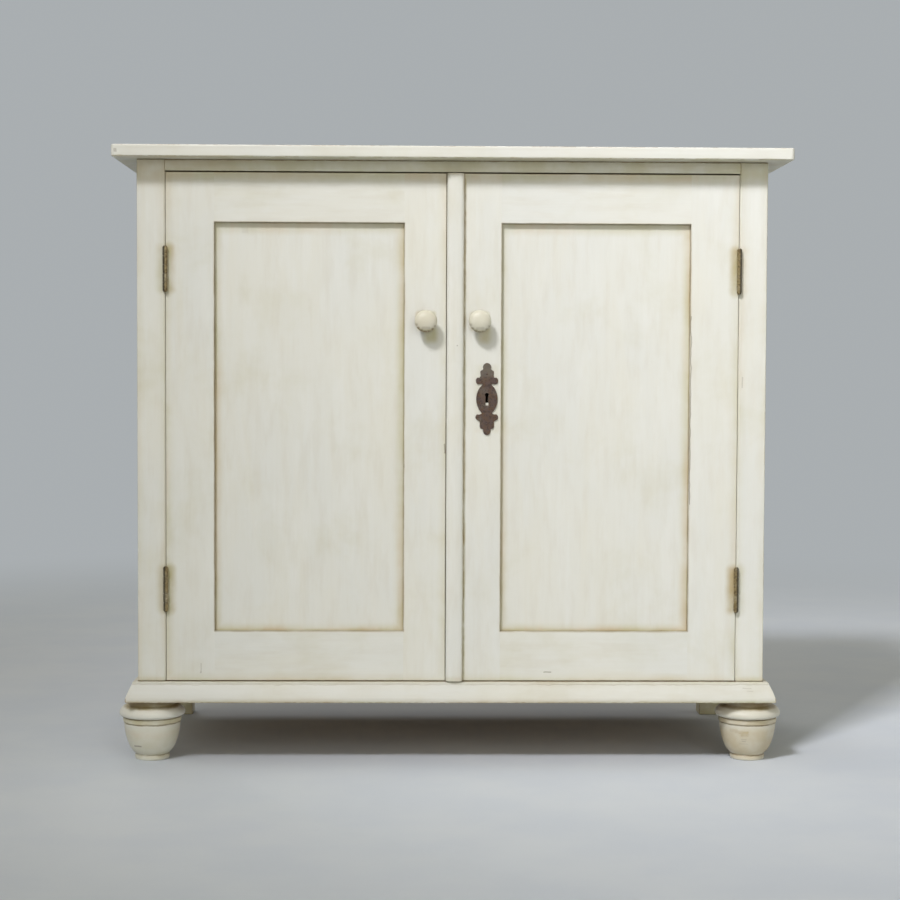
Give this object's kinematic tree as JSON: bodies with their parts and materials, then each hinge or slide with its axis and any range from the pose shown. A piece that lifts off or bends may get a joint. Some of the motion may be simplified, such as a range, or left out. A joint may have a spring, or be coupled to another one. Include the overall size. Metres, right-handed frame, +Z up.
{
  "type": "two-door cupboard",
  "caption": "Painted pine cupboard with inset frame-and-panel doors, overhanging top, splayed base moulding, turned front feet and block back feet.",
  "frame": {"origin": "on the floor, under the middle of the top board's outline", "axes": "+X across the front to the viewer's right, +Y from the front to the back, +Z up"},
  "size_m": [1.07, 0.504, 0.978],
  "materials": {
    "painted_pine": "hand-brushed off-white paint with brown wax in the crevices",
    "bare_pine": "aged bare pine",
    "old_iron": "rusty brown iron",
    "hinge_metal": "tarnished brown"
  },
  "bodies": {
    "root": {"top_board": "painted_pine", "left_side": "painted_pine", "right_side": "painted_pine", "left_front_stile": "painted_pine", "right_front_stile": "painted_pine", "top_front_rail": "painted_pine", "bottom_board": "bare_pine", "base_front_rail": "bare_pine", "base_back_rail": "bare_pine", "base_left_rail": "bare_pine", "base_right_rail": "bare_pine", "base_front_moulding": "painted_pine", "base_left_moulding": "painted_pine", "base_right_moulding": "painted_pine", "back_board_1": "bare_pine", "back_board_2": "bare_pine", "back_board_3": "bare_pine", "back_board_4": "bare_pine", "back_top_rail": "bare_pine", "shelf": "bare_pine", "left_shelf_cleat": "bare_pine", "right_shelf_cleat": "bare_pine", "front_left_foot": "painted_pine", "front_right_foot": "painted_pine", "back_left_foot": "painted_pine", "back_right_foot": "painted_pine", "left_upper_hinge_frame_leaf": "hinge_metal", "left_upper_hinge_pin": "hinge_metal", "left_lower_hinge_frame_leaf": "hinge_metal", "left_lower_hinge_pin": "hinge_metal", "right_upper_hinge_frame_leaf": "hinge_metal", "right_upper_hinge_pin": "hinge_metal", "right_lower_hinge_frame_leaf": "hinge_metal", "right_lower_hinge_pin": "hinge_metal"},
    "left_door": {"left_door_hinge_stile": "painted_pine", "left_door_meeting_stile": "painted_pine", "left_door_top_rail": "painted_pine", "left_door_bottom_rail": "painted_pine", "left_door_panel": "painted_pine", "left_knob": "painted_pine", "left_upper_hinge_door_leaf": "hinge_metal", "left_lower_hinge_door_leaf": "hinge_metal", "lock_keeper": "old_iron", "upper_bolt_plate": "old_iron", "lower_bolt_plate": "old_iron"},
    "right_door": {"right_door_hinge_stile": "painted_pine", "right_door_meeting_stile": "painted_pine", "right_door_top_rail": "painted_pine", "right_door_bottom_rail": "painted_pine", "right_door_panel": "painted_pine", "right_knob": "painted_pine", "cover_strip": "painted_pine", "escutcheon": "old_iron", "lock_case": "old_iron", "right_upper_hinge_door_leaf": "hinge_metal", "right_lower_hinge_door_leaf": "hinge_metal"},
    "lock_bolt": {"lock_bolt": "old_iron"},
    "upper_bolt": {"upper_bolt": "old_iron"},
    "lower_bolt": {"lower_bolt": "old_iron"}
  },
  "joints": [
    {"name": "left_door_hinge", "type": "hinge", "parent": "root", "child": "left_door", "pos_m": [-0.455, -0.2182, 0.535], "axis": [0, 0, -1], "range_deg": [0, 170]},
    {"name": "right_door_hinge", "type": "hinge", "parent": "root", "child": "right_door", "pos_m": [0.455, -0.2182, 0.535], "axis": [0, 0, 1], "range_deg": [0, 170]},
    {"name": "lock_bolt_slide", "type": "slide", "parent": "right_door", "child": "lock_bolt", "axis": [-1, 0, 0], "range_m": [0, 0.01]},
    {"name": "upper_bolt_slide", "type": "slide", "parent": "left_door", "child": "upper_bolt", "axis": [0, 0, 1], "range_m": [0, 0.012]},
    {"name": "lower_bolt_slide", "type": "slide", "parent": "left_door", "child": "lower_bolt", "axis": [0, 0, -1], "range_m": [0, 0.012]}
  ]
}
